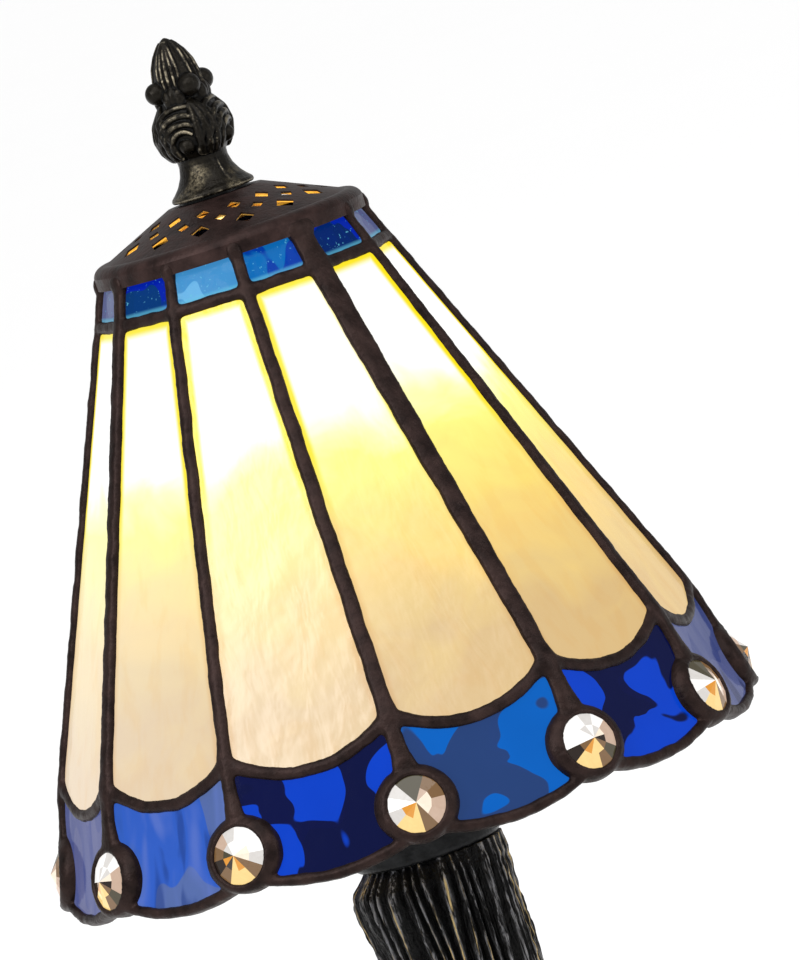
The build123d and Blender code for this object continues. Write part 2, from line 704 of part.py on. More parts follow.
save("trunk_body", trunk_body())
save("collar", collar())
save("lamp_pipe", ring(PIPE_RADIUS, PIPE_BORE, PIPE_BOTTOM_Z, PIPE_TOP_Z))
save("pipe_nut_upper", hex_nut(NUT_FLATS, SOCKET_CAP_BOTTOM_Z + SOCKET_CAP_SHEET, 3.0))
save("pipe_nut_lower", hex_nut(NUT_FLATS, PIPE_BOTTOM_Z + 1.0, 2.7))
plate_bottom = BASE_RECESS_TOP_Z - BASE_PLATE
save("lock_washer", ring(9.0, PIPE_HOLE, plate_bottom - 1.0, plate_bottom))
save("base_plate", ring(BASE_RECESS - 0.2, PIPE_HOLE, plate_bottom, BASE_RECESS_TOP_Z))
save("ballast", ballast_shape(0) - ring(PIPE_HOLE, 0, 0, 100))
save("felt_pad", ring(FELT_RADIUS, 0, 0, TRUNK_BOTTOM_Z))
save("cord_bushing", cord_bushing())
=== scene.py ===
import math
import random

import bpy
import numpy as np
from mathutils import Matrix, Vector, noise


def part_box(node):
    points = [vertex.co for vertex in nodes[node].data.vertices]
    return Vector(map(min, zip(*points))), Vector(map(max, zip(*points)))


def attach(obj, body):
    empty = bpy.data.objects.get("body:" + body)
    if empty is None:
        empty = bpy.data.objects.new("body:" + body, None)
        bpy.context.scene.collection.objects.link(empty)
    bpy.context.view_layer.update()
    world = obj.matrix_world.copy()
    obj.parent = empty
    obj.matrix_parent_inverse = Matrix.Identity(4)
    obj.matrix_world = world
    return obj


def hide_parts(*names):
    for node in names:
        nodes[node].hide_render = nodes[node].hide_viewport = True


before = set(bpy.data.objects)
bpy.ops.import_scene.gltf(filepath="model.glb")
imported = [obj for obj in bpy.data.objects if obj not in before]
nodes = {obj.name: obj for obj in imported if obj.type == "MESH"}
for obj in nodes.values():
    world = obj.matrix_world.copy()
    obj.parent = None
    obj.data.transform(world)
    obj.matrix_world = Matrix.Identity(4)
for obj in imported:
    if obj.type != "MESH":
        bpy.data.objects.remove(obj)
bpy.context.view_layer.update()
scene = bpy.context.scene

# Looks of a leaded-glass table lamp on a tree-trunk base. Metres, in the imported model's frame:
# +Z up, origin on the table under the lamp, -Y is the front, which one rib of the shade faces.

MM = 0.001
SIDES = 12
SECTOR = 360 / SIDES
FRONT = -90.0
APOTHEM = math.cos(math.pi / SIDES)
HALF_SIDE = math.sin(math.pi / SIDES)

# Corner rings of the shade's outer glass surface: (radius at a corner, height).
TOP_SEAM = (0.0411, 0.3116)
LOW_SEAM = (0.0892, 0.1969)
JEWEL_RING = (0.0962, 0.1730)
GLASS = 3.0 * MM

# Widths of the ribs at their top and bottom, in millimetres, where they differ from the usual.
RIB_WIDTHS = {0: (3.6, 4.8), 1: (7.0, 5.0), 2: (2.9, 4.8), 5: (4.8, 4.4), 8: (3.6, 5.2)}
RIB_WIDTHS |= {10: (4.6, 5.2), 11: (3.2, 4.0)}
USUAL_RIB = (4.0, 4.6)
SEAM_WIDTH = 3.5 * MM
LOW_SEAM_WIDTH = 1.05 * SEAM_WIDTH
LOW_SEAM_SAG = 7.6 * MM
RIM_WIDTH = 3.0 * MM
RIM_CORNER_Z = 0.1675
RIM_MIDDLE_Z = 0.1620
RIM_REACH = 0.76
BEAD_PROUD = 1.4 * MM
BEAD_DEEP = GLASS + 1.0 * MM
BEAD_UNEVEN = 0.10
RIB_DRIFT = 0.13 * MM
SEAM_DRIFT = 0.12 * MM
SOLDER_VOXEL = 0.55 * MM

JEWEL_RADIUS = 7.88 * MM
BEZEL_RADIUS = 11.8 * MM
BEZEL_DRAWN_IN = 0.16
RIB_END = JEWEL_RING[1] + 9.2 * MM

FINIAL_LOW, FINIAL_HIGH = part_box("finial")
CAP_LOW, CAP_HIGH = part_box("vent_cap")
TRUNK_LOW, TRUNK_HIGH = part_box("trunk_body")
BULB_LOW, BULB_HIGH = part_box("bulb_glass")

# Painted light on the cream glass: its bright zone round the bulb, the side painted warm by the light, and
# the painted shade of the fringe beside the ribs.
GLOW_LOW = 0.190
GLOW_HIGH = 0.310
LIGHT_WARM_SIDE = 2.2
LEAST_WARM = 0.08
FRINGE_NEAR = 2.6 * MM
FRINGE_FAR = 4.2 * MM

# ---- mesh helpers


def spot(radius, height, degrees):
    """Point at a radius, height and direction about the lamp's axis."""
    turn = math.radians(degrees)
    return Vector((radius * math.cos(turn), radius * math.sin(turn), height))


def sideways(degrees):
    """Unit vector across a direction about the lamp's axis, anticlockwise from above."""
    return Vector((-math.sin(math.radians(degrees)), math.cos(math.radians(degrees)), 0))


def wobble(seed, scale, waves=4):
    """Smooth random function of a length in metres, about -1 to 1, with detail near the scale."""
    draw = random.Random(seed)
    parts = [(draw.uniform(0.5, 1.6) / scale, draw.uniform(0, 2 * math.pi)) for _ in range(waves)]

    def value(length):
        total = sum(math.sin(2 * math.pi * rate * length + phase) for rate, phase in parts)
        return total / (0.7 * waves)

    return value


def add_object(name, data):
    """New object in the scene with its data."""
    added = bpy.data.objects.new(name, data)
    scene.collection.objects.link(added)
    return added


def mesh_object(name, points, faces, smooth=True):
    """New object in the scene from points and faces."""
    mesh = bpy.data.meshes.new(name)
    mesh.from_pydata([tuple(point) for point in points], [], faces)
    mesh.update()
    mesh.shade_smooth() if smooth else mesh.shade_flat()
    return add_object(name, mesh)


def skin(rings, ends="closed"):
    """Points and faces of a tube through rings of points, with its ends closed, open or joined."""
    count = len(rings[0])
    points = [point for ring in rings for point in ring]
    faces = []
    for row in range(len(rings) if ends == "joined" else len(rings) - 1):
        low = row * count
        high = (row + 1) % len(rings) * count
        for index in range(count):
            following = (index + 1) % count
            faces.append((low + index, low + following, high + following, high + index))
    if ends == "closed":
        faces.append(tuple(range(count))[::-1])
        faces.append(tuple(range(len(points) - count, len(points))))
    return points, faces


def bead(stations):
    """Solder bead over the glass through (place, outward normal, width, height) stations."""
    section = 20
    path = [station[0] for station in stations]
    rings = []
    for index, (centre, normal, width, height) in enumerate(stations):
        along = (path[min(index + 1, len(path) - 1)] - path[max(index - 1, 0)]).normalized()
        across = along.cross(normal).normalized()
        ring = []
        for step in range(section):
            turn = 2 * math.pi * step / section
            cosine, sine = math.cos(turn), math.sin(turn)
            side = math.copysign(abs(cosine) ** 0.8, cosine) * width / 2
            # Domed above the glass, and boxy down through its thickness.
            rise = height * sine if sine > 0 else -BEAD_DEEP * abs(sine) ** 0.6
            ring.append(centre + across * side + normal * rise)
        rings.append(ring)
    return skin(rings)


def turned(profile, count=48):
    """Closed surface of revolution about z from (radius, height) points, as a ring of sections."""
    turns = [360 * step / count for step in range(count)]
    return skin([[spot(radius, height, turn) for radius, height in profile] for turn in turns], "joined")


def ball(centre, radii, rows=14, columns=20):
    """Ellipsoid as points and faces."""
    turns = [360 * column / columns for column in range(columns)]
    rings = []
    for row in range(rows + 1):
        polar = math.pi * min(max(row / rows, 0.01), 0.99)
        ways = [spot(math.sin(polar), math.cos(polar), turn) for turn in turns]
        rings.append([centre + way * Vector(radii) for way in ways])
    return skin(rings)


def tube(path, radii, section=10):
    """Round tube along points, with a radius at each."""
    rings = []
    for index, centre in enumerate(path):
        along = (path[min(index + 1, len(path) - 1)] - path[max(index - 1, 0)]).normalized()
        # Each ring starts on the side that the last one did, so that the tube isn't twisted.
        side = (along.orthogonal() if index == 0 else side - along * side.dot(along)).normalized()
        up = along.cross(side)
        turns = [2 * math.pi * step / section for step in range(section)]
        rings.append([centre + radii[index] * (side * math.cos(t) + up * math.sin(t)) for t in turns])
    return skin(rings)


def merged(parts):
    """Several (points, faces) lists as one."""
    points = []
    faces = []
    for part_points, part_faces in parts:
        start = len(points)
        points.extend(part_points)
        faces.extend(tuple(start + index for index in face) for face in part_faces)
    return points, faces


def baked_modifiers(piece):
    """Applies every modifier of a piece to its mesh."""
    graph = bpy.context.evaluated_depsgraph_get()
    result = bpy.data.meshes.new_from_object(piece.evaluated_get(graph))
    piece.modifiers.clear()
    old = piece.data
    piece.data = result
    bpy.data.meshes.remove(old)
    piece.data.name = piece.name
    piece.data.shade_smooth()


def fused(name, parts, voxel, smooth_steps):
    """One closed skin round overlapping parts, softened where they meet."""
    piece = mesh_object(name, *merged(parts))
    remesh = piece.modifiers.new("skin", "REMESH")
    remesh.mode = "VOXEL"
    remesh.voxel_size = voxel
    remesh.use_smooth_shade = True
    soften = piece.modifiers.new("soften", "SMOOTH")
    soften.factor = 0.5
    soften.iterations = smooth_steps
    baked_modifiers(piece)
    return piece


def store(piece, name, values):
    """Stores a number at each point of a piece, for its material to read."""
    piece.data.attributes.new(name, "FLOAT", "POINT").data.foreach_set("value", values.tolist())


def roughen(piece, layers):
    """Moves each point along its normal by noise: layers are (size of detail, depth)."""
    mesh = piece.data
    moved = []
    for vertex in mesh.vertices:
        shift = sum(depth * noise.noise(vertex.co / size) for size, depth in layers)
        moved.extend(vertex.co + vertex.normal * shift)
    mesh.vertices.foreach_set("co", moved)
    mesh.update()


# ---- material helpers


class Finish:
    """A node material with one Principled shader and short ways to feed it."""

    def __init__(self, name, base=(0.5, 0.5, 0.5), **sockets):
        self.material = bpy.data.materials.new(name)
        self.material.use_nodes = True
        self.nodes = self.material.node_tree.nodes
        self.links = self.material.node_tree.links
        self.shader = self.nodes["Principled BSDF"]
        self.set("Base Color", base)
        for socket, value in sockets.items():
            self.set(socket.replace("_", " "), value)

    def node(self, kind, inputs=(), **settings):
        """New node with its settings and with (name or number, value) pairs for its inputs."""
        made = self.nodes.new(kind)
        for key, value in settings.items():
            setattr(made, key, value)
        for key, value in inputs:
            self.feed(made.inputs[key], value)
        return made

    def feed(self, socket, value):
        """Links a node output to a socket, or sets a plain value."""
        if isinstance(value, bpy.types.NodeSocket):
            self.links.new(value, socket)
        elif isinstance(value, (tuple, list)) and len(value) == 3 and len(socket.default_value) == 4:
            socket.default_value = (*value, 1)
        else:
            socket.default_value = value

    def math(self, operation, *values):
        return self.node("ShaderNodeMath", enumerate(values), operation=operation).outputs[0]

    def times(self, first, second):
        return self.math("MULTIPLY", first, second)

    def plus(self, first, second):
        return self.math("ADD", first, second)

    def minus(self, first, second):
        return self.math("SUBTRACT", first, second)

    def place(self):
        """Object coordinates, which are the lamp's own frame."""
        return self.node("ShaderNodeTexCoord").outputs["Object"]

    def stretched(self, scale):
        """Object coordinates with a scale of their own along each axis."""
        inputs = (("Vector", self.place()), ("Scale", scale))
        return self.node("ShaderNodeMapping", inputs).outputs[0]

    def noise(self, size, detail=2.0, roughness=0.5, vector=None, distortion=0.0):
        """Noise of a size in metres, 0 to 1."""
        inputs = (("Vector", vector or self.place()), ("Scale", 1 / size), ("Detail", detail))
        inputs += (("Roughness", roughness), ("Distortion", distortion))
        return self.node("ShaderNodeTexNoise", inputs).outputs["Fac"]

    def ramp(self, factor, *stops, interpolation="LINEAR"):
        """Colour ramp from (position, colour) stops."""
        made = self.node("ShaderNodeValToRGB")
        made.color_ramp.interpolation = interpolation
        elements = made.color_ramp.elements
        for index, (position, colour) in enumerate(stops):
            element = elements[index] if index < 2 else elements.new(position)
            element.position = position
            element.color = (*colour, 1)
        self.feed(made.inputs["Fac"], factor)
        return made.outputs["Color"]

    def between(self, factor, low, high):
        """A number that runs from low to high as the factor runs from 0 to 1."""
        inputs = (("Value", factor), ("To Min", low), ("To Max", high))
        return self.node("ShaderNodeMapRange", inputs).outputs["Result"]

    def window(self, value, low, high):
        """Smooth step from 0 at the first limit to 1 at the second, which may be the lower one."""
        inputs = (("Value", value), ("From Min", low), ("From Max", high))
        made = self.node("ShaderNodeMapRange", inputs, interpolation_type="SMOOTHSTEP")
        return made.outputs["Result"]

    def see_through(self, tint, share):
        """Lets a share of the light straight through, tinted."""
        through = self.node("ShaderNodeBsdfTransparent", (("Color", tint),)).outputs[0]
        inputs = (("Fac", 1 - share), (1, through), (2, self.shader.outputs[0]))
        blend = self.node("ShaderNodeMixShader", inputs)
        self.feed(self.nodes["Material Output"].inputs["Surface"], blend.outputs[0])

    def mix(self, factor, first, second, mode="MIX"):
        """Mix of two colours, which are inputs 6 and 7 and output 2 of Blender's many-sided node."""
        inputs = ((0, factor), (6, first), (7, second))
        return self.node("ShaderNodeMix", inputs, data_type="RGBA", blend_type=mode).outputs[2]

    def bump(self, *layers):
        """Bump from (height socket, depth in metres) layers, on the shader's normal."""
        under = ()
        for height, depth in layers:
            made = self.node("ShaderNodeBump", (("Distance", depth), ("Height", height), *under))
            under = (("Normal", made.outputs["Normal"]),)
        self.set("Normal", made.outputs["Normal"])

    def stored(self, name, output="Fac"):
        """What the mesh itself stores under a name: a number at each point, or its Color."""
        return self.node("ShaderNodeAttribute", attribute_name=name).outputs[output]

    def set(self, socket, value):
        self.feed(self.shader.inputs[socket], value)

    def shine(self, colour, strength, cover, dark):
        """Shines with a colour, over a surface of the same colour mostly covered by a dark one."""
        self.set("Base Color", self.mix(cover, colour, dark))
        self.set("Emission Color", colour)
        self.set("Emission Strength", strength)


def toned(colour, factor):
    """Colour made lighter or darker, up to white."""
    return [min(1.0, factor * value) for value in colour]


def coordinates(finish):
    """Sockets of a point's x, y and z in the lamp's own frame."""
    split = finish.node("ShaderNodeSeparateXYZ", ((0, finish.place()),))
    return split.outputs["X"], split.outputs["Y"], split.outputs["Z"]


def azimuth(finish, x, y):
    """Direction about the lamp's axis as a number of sides, counted from the first side's first rib."""
    turn = finish.math("ARCTAN2", y, x)
    sides = finish.times(turn, SIDES / (2 * math.pi))
    return finish.minus(sides, FRONT / SECTOR)


def axis_distance(finish, x, y):
    """Distance in metres from the lamp's axis."""
    flat = finish.node("ShaderNodeCombineXYZ", (("X", x), ("Y", y)))
    reach = finish.node("ShaderNodeVectorMath", ((0, flat.outputs[0]),), operation="LENGTH")
    return reach.outputs["Value"]


# ---- materials

GLASS_CLEAR = 0.14
BLUE_DARK = (0.001, 0.001, 0.002)
SOLDER_BASE = (0.0165, 0.0095, 0.0083)
SHEET_BASE = (0.0215, 0.0120, 0.0108)
CAP_FLAT = 13.4 * MM
CAP_SLOPE = 9.0 / 20.7


def rib_distance(finish, sides, reach):
    """Distance in metres from the nearest rib's middle, round the lamp's axis."""
    off_middle = finish.math("ABSOLUTE", finish.minus(finish.math("FRACT", sides), 0.5))
    share = finish.minus(0.5, off_middle)
    arc = finish.times(share, math.radians(SECTOR))
    return finish.times(arc, reach)


# Painted glow of the cream glass from its coolest part to the bulb's height: its place between the two,
# then the colour on the side painted warm by the light and the colour on the pale side.
CREAM_TONES = (
    (0.02, (0.69, 0.475, 0.205), (0.80, 0.675, 0.535)),
    (0.15, (0.79, 0.56, 0.205), (0.855, 0.735, 0.54)),
    (0.28, (0.90, 0.63, 0.185), (0.93, 0.785, 0.545)),
    (0.42, (0.95, 0.74, 0.185), (0.955, 0.855, 0.545)),
    (0.54, (0.98, 0.85, 0.20), (0.97, 0.93, 0.50)),
    (0.61, (1.00, 0.93, 0.22), (1.00, 0.99, 0.46)),
    (0.70, (1.00, 1.00, 0.46), (1.00, 1.00, 0.66)),
    (0.81, (1.05, 1.05, 1.02), (1.05, 1.05, 1.05)),
)


def cream_glass():
    """Opalescent cream glass with the bulb's light painted on: white at the bulb's height, honey below,
    streaked.
    """
    finish = Finish("cream_glass", Roughness=0.14, IOR=1.5, Specular_IOR_Level=0.3)
    x, y, z = coordinates(finish)
    sides = azimuth(finish, x, y)
    level = finish.window(z, GLOW_LOW, GLOW_HIGH)
    clouds = finish.noise(0.026, 4.0, 0.5, finish.stretched((1, 1, 1.3)), 0.8)
    streaks = finish.noise(0.007, 3.0, 0.6, finish.stretched((1, 1, 0.07)), 0.4)
    wander = finish.times(finish.minus(clouds, 0.5), 0.36)
    lit = finish.plus(level, wander)
    places, warm_tones, pale_tones = zip(*CREAM_TONES)
    golden = finish.ramp(lit, *zip(places, warm_tones))
    pale = finish.ramp(lit, *zip(places, pale_tones))
    # Painted light: the glass is painted warmer towards one side of the lamp, where the light falls warm, and
    # paler on the other.
    turn = finish.times(finish.minus(sides, LIGHT_WARM_SIDE), math.radians(SECTOR))
    facing = finish.plus(finish.times(finish.math("COSINE", turn), 0.5), 0.5)
    warm = finish.between(facing, LEAST_WARM, 1.0)
    colour = finish.mix(warm, pale, golden)
    below = finish.minus(1.0, finish.window(level, 0.45, 0.70))
    streak = finish.times(finish.window(streaks, 0.46, 0.66), finish.times(below, 0.16))
    streaked = finish.mix(streak, colour, (0.95, 0.70, 0.36), "MULTIPLY")

    # Painted shade beside the solder, where less light comes through: a yellow fringe in the bright zone, and
    # darker honey beside it below.
    apart = rib_distance(finish, sides, axis_distance(finish, x, y))
    fringe = finish.minus(1.0, finish.window(apart, FRINGE_NEAR, FRINGE_FAR))
    top_fringe = finish.window(z, TOP_SEAM[1] - 4.6 * MM, TOP_SEAM[1] - 2.2 * MM)
    edge = finish.math("MAXIMUM", fringe, top_fringe)
    bright = finish.window(level, 0.42, 0.72)
    painted_fringe = finish.times(edge, bright)
    fringe_colour = finish.mix(warm, (1.0, 0.82, 0.08), (1.0, 0.78, 0.002))
    glow = finish.mix(painted_fringe, streaked, fringe_colour)
    painted_shade_by_solder = finish.times(fringe, finish.times(below, 0.40))
    glow = finish.mix(painted_shade_by_solder, glow, (0.88, 0.66, 0.42), "MULTIPLY")
    finish.shine(glow, 0.92, 0.92, (0.01, 0.008, 0.005))
    finish.bump((finish.noise(0.012), 0.0002), (streaks, 0.0001))
    return finish.material


def blue_glass(name, main, patch, cover, size=0.016, tall=1.0, streaky=0.0, clear=GLASS_CLEAR):
    """Blue glass lit from inside: crisp shapes of a second blue in it, and part of the view through."""
    finish = Finish(name, main, Roughness=0.07, IOR=1.52, Specular_IOR_Level=0.13)
    shapes = finish.noise(size, 1.5, 0.4, finish.stretched((1, 1, tall)), 0.9)
    mask = finish.window(shapes, 0.5 - cover, 0.508 - cover)
    colour = finish.mix(mask, main, patch)
    cloud = finish.noise(0.020)
    colour = finish.mix(finish.between(cloud, 0.0, 0.45), colour, (0.55, 0.55, 0.55), "MULTIPLY")
    if streaky:
        streaks = finish.noise(0.009, 2.0, 0.5, finish.stretched((1, 1, 0.14)), 0.4)
        light = [0.8 * value + 0.10 for value in main]
        share = finish.times(finish.window(streaks, 0.44, 0.66), streaky)
        colour = finish.mix(share, colour, light)
        dark = finish.times(finish.window(streaks, 0.42, 0.34), 0.6)
        colour = finish.mix(dark, colour, toned(main, 0.35))
    finish.shine(colour, 1.0, 0.85, BLUE_DARK)
    finish.bump((finish.noise(0.012), 0.0002))
    finish.see_through(main, clear)
    return finish.material


# Each top tile's own two blues, from the first side on round the lamp.
TOP_TILES = (
    ((0.005, 0.17, 0.52), (0.001, 0.050, 0.42)),
    ((0.001, 0.022, 0.46), (0.001, 0.022, 0.15)),
    ((0.15, 0.18, 0.34), (0.11, 0.13, 0.30)),
    ((0.03, 0.25, 0.60), (0.003, 0.060, 0.45)),
    ((0.001, 0.022, 0.46), (0.002, 0.09, 0.30)),
    ((0.02, 0.16, 0.50), (0.001, 0.03, 0.42)),
    ((0.002, 0.05, 0.30), (0.02, 0.22, 0.55)),
    ((0.04, 0.30, 0.62), (0.01, 0.10, 0.42)),
    ((0.001, 0.025, 0.50), (0.003, 0.10, 0.30)),
    ((0.17, 0.20, 0.36), (0.13, 0.15, 0.31)),
    ((0.001, 0.018, 0.44), (0.001, 0.045, 0.20)),
    ((0.060, 0.32, 0.66), (0.15, 0.50, 0.84)),
)


def top_tile_glass():
    """Small blue tiles close to the bulb, each cut from its own piece of sheet."""
    finish = Finish("sky_glass", (0.01, 0.1, 0.4), Roughness=0.05, IOR=1.52, Specular_IOR_Level=0.03)
    x, y, z = coordinates(finish)
    sides = azimuth(finish, x, y)
    turn = finish.math("FRACT", finish.plus(finish.math("DIVIDE", sides, float(SIDES)), 1.0))
    stops = [index / SIDES for index in range(SIDES)]
    ramps = [zip(stops, tones) for tones in zip(*TOP_TILES)]
    main, patch = [finish.ramp(turn, *tones, interpolation="CONSTANT") for tones in ramps]
    shapes = finish.noise(0.013, 1.0, 0.3, finish.stretched((1, 1, 1.1)), 0.5)
    colour = finish.mix(finish.window(shapes, 0.49, 0.505), main, patch)
    # Painted light: bright glinting specks, and a paler teal glow along each tile's foot by the seam.
    painted_glints = finish.window(finish.noise(0.0011), 0.66, 0.71)
    foot = finish.window(z, TOP_SEAM[1] + 2.9 * MM, TOP_SEAM[1] + 1.8 * MM)
    shine = finish.math("MAXIMUM", finish.times(painted_glints, 0.7), finish.times(foot, 0.55))
    colour = finish.mix(shine, colour, (0.15, 0.60, 0.80))
    finish.shine(colour, 0.74, 0.85, BLUE_DARK)
    finish.bump((finish.noise(0.008), 0.0002))
    finish.see_through((0.012, 0.28, 0.75), 0.10)
    return finish.material


def patina(name, base, roughness, metallic):
    """Dark patina on solder or sheet: mottled, faintly hammered, rubbed lighter in places."""
    finish = Finish(name, base, Metallic=metallic, Specular_IOR_Level=0.11)
    mottle = finish.noise(0.006, 4.0, 0.6)
    grain = finish.noise(0.0012, 2.0, 0.6)
    finish.set("Base Color", finish.ramp(mottle, (0.3, toned(base, 0.55)), (0.72, toned(base, 1.9))))
    finish.set("Roughness", finish.between(mottle, roughness - 0.10, roughness + 0.14))
    finish.bump((mottle, 0.00030), (grain, 0.00014))
    return finish


def vent_sheet():
    """The cap's patinated sheet, with bare brass on its inner side and a painted glow there for the bulb's
    light on it.
    """
    finish = patina("sheet_patina", SHEET_BASE, 0.40, 0.45)
    x, y, z = coordinates(finish)
    reach = axis_distance(finish, x, y)
    # Height of the cone's outer face at this radius, less the point's own height.
    beyond = finish.math("MAXIMUM", finish.minus(reach, CAP_FLAT), 0.0)
    fall = finish.times(beyond, CAP_SLOPE)
    depth = finish.minus(finish.minus(CAP_HIGH.z, fall), z)
    inside = finish.window(depth, 0.45 * MM, 0.60 * MM)
    not_rim = finish.window(reach, CAP_HIGH.x - 1.2 * MM, CAP_HIGH.x - 2.2 * MM)
    inner = finish.times(inside, not_rim)
    # Painted light: a dappled gold glow on the inner face, away from the middle.
    across = finish.window(finish.math("ABSOLUTE", x), 9 * MM, 13 * MM)
    painted_glow_patches = finish.window(finish.noise(0.012), 0.36, 0.50)
    glow = finish.times(inner, finish.times(across, painted_glow_patches))
    outer = finish.shader.inputs["Base Color"].links[0].from_socket
    finish.set("Base Color", finish.mix(inner, outer, (0.55, 0.30, 0.06)))
    finish.set("Emission Color", finish.mix(glow, (0, 0, 0), (0.90, 0.42, 0.035)))
    finish.set("Emission Strength", 1.0)
    return finish.material


def bronze(name, base, crest_highlight_colour):
    """Cast bronze patina: crests lighter as rubbed wear and painted highlight, hollows in painted shade, from
    the piece's own crest and hollow attributes.
    """
    finish = Finish(name, base, Metallic=0.6, Specular_IOR_Level=0.2)
    crest = finish.stored("crest")
    mottle = finish.noise(0.003, 4.0, 0.6)
    # Crests painted lighter: partly rubbed wear, partly painted highlight.
    rubbed = finish.times(crest, finish.window(mottle, 0.42, 0.60))
    colour = finish.mix(mottle, toned(base, 0.5), toned(base, 1.6))
    # Painted shade: hollows go near black.
    hollow = finish.stored("hollow")
    colour = finish.mix(hollow, colour, (0.0005, 0.0004, 0.0003))
    # Painted reflection: the neck is painted lighter in grainy patches, for the light that it reflects.
    neck = finish.window(coordinates(finish)[2], FINIAL_LOW.z + 11.0 * MM, FINIAL_LOW.z + 7.0 * MM)
    patch = finish.window(finish.noise(0.0065), 0.44, 0.66)
    grainy = finish.window(finish.noise(0.0007, 2.0, 0.6), 0.30, 0.70)
    painted_neck_sheen = finish.times(finish.times(patch, neck), grainy)
    colour = finish.mix(painted_neck_sheen, colour, (0.115, 0.096, 0.062))
    finish.set("Base Color", finish.mix(rubbed, colour, crest_highlight_colour))
    finish.set("Roughness", finish.between(mottle, 0.22, 0.44))
    finish.bump((mottle, 0.0003), (finish.noise(0.0008, 2.0, 0.6), 0.00015))
    return finish.material


def bark_paint():
    """Black trunk finish with painted grey highlights along the bark's crests, and gold brushed on broken
    stretches of a few of them.
    """
    finish = Finish("trunk_bark", (0.008, 0.008, 0.009), Specular_IOR_Level=0.14)
    crest = finish.stored("crest")
    fine = finish.noise(0.0007, 3.0, 0.65, finish.stretched((1, 1, 0.05)))
    broken = finish.window(finish.noise(0.0022, 3.0, 0.6, finish.stretched((1, 1, 0.2))), 0.33, 0.50)
    patches = finish.noise(0.012, 2.0, 0.5, finish.stretched((1, 1, 0.16)))
    gold = finish.times(finish.window(crest, 0.84, 0.93), finish.window(patches, 0.50, 0.55))
    gold = finish.times(gold, broken)
    # Painted highlight: grey along the crests, broken up.
    painted_crest_highlight = finish.times(finish.window(crest, 0.50, 0.92), finish.window(fine, 0.46, 0.60))
    painted_crest_highlight = finish.times(painted_crest_highlight, broken)
    colour = finish.mix(painted_crest_highlight, (0.0010, 0.0010, 0.0010), (0.25, 0.25, 0.26))
    finish.set("Base Color", finish.mix(gold, colour, (0.52, 0.39, 0.18)))
    finish.set("Metallic", finish.times(gold, 0.7))
    finish.set("Roughness", finish.between(fine, 0.20, 0.46))
    finish.bump((fine, 0.0009), (finish.noise(0.0006, 2.0, 0.6), 0.0004))
    return finish.material


def crystal_finish():
    """Cut glass: each facet keeps the brightness that it throws, with a hard gloss over it."""
    finish = Finish("crystal", (0.8, 0.8, 0.8), Roughness=0.04, IOR=1.6, Specular_IOR_Level=0.3)
    facet = finish.stored("facet", "Color")
    streaks = finish.noise(0.0016, 2.0, 0.5, None, 0.8)
    colour = finish.mix(finish.between(streaks, 0.0, 0.35), facet, (0.60, 0.52, 0.44), "MULTIPLY")
    finish.shine(colour, 0.92, 0.85, (0.002, 0.002, 0.002))
    finish.bump((finish.noise(0.0009, 1.0, 0.55), 0.00003))
    return finish.material


def metal(name, base, roughness):
    """Plain drawn metal with fine wear."""
    finish = Finish(name, base, Metallic=1.0)
    wear = finish.noise(0.002, 3.0, 0.6)
    finish.set("Base Color", finish.mix(wear, base, toned(base, 0.7)))
    finish.set("Roughness", finish.between(wear, roughness - 0.06, roughness + 0.10))
    finish.bump((wear, 0.00005))
    return finish.material


def plain(name, base, roughness, grain, depth):
    """Non-metal with a fine grain: plastic, fibre, felt or iron skin."""
    finish = Finish(name, base)
    fine = finish.noise(grain, 4.0, 0.7)
    finish.set("Base Color", finish.mix(fine, toned(base, 0.7), toned(base, 1.25)))
    finish.set("Roughness", finish.between(fine, roughness - 0.08, min(1.0, roughness + 0.08)))
    finish.bump((fine, depth))
    return finish.material


def bulb_finish():
    """Frosted bulb, lit."""
    finish = Finish("bulb_frost", (0.9, 0.85, 0.75), Roughness=0.5)
    cloud = finish.noise(0.02)
    finish.set("Emission Color", finish.mix(cloud, (1.0, 0.86, 0.60), (1.0, 0.93, 0.76)))
    finish.set("Emission Strength", 6.0)
    finish.bump((finish.noise(0.0005, 1.0, 0.55), 0.00003))
    return finish.material


# ---- shade


def corner_radius(height):
    """Radius of the outer glass corner at a height."""
    low, high = (LOW_SEAM, TOP_SEAM) if height > LOW_SEAM[1] else (JEWEL_RING, LOW_SEAM)
    share = (height - low[1]) / (high[1] - low[1])
    return low[0] + share * (high[0] - low[0])


def slope_normal(height, degrees, factor=1.0):
    """Outward normal of the shade at a height, in one direction; factor is APOTHEM on a flat side."""
    upper = math.atan2((LOW_SEAM[0] - TOP_SEAM[0]) * factor, TOP_SEAM[1] - LOW_SEAM[1])
    lower = math.atan2((JEWEL_RING[0] - LOW_SEAM[0]) * factor, LOW_SEAM[1] - JEWEL_RING[1])
    share = min(max((height - LOW_SEAM[1]) / (6 * MM) + 0.5, 0), 1)
    tilt = lower + share * (upper - lower)
    return spot(math.cos(tilt), math.sin(tilt), degrees).normalized()


def side_point(number, height, share):
    """Point on a flat side's outer face; share runs from -1 at its first rib to 1 at the next."""
    middle = FRONT + SECTOR * (number + 0.5)
    radius = corner_radius(height)
    across = sideways(middle)
    return spot(radius * APOTHEM, height, middle) + across * (radius * HALF_SIDE * share)


def nearness(distance, width):
    """1 at no distance, falling away smoothly over a width."""
    return math.exp(-((distance / width) ** 2))


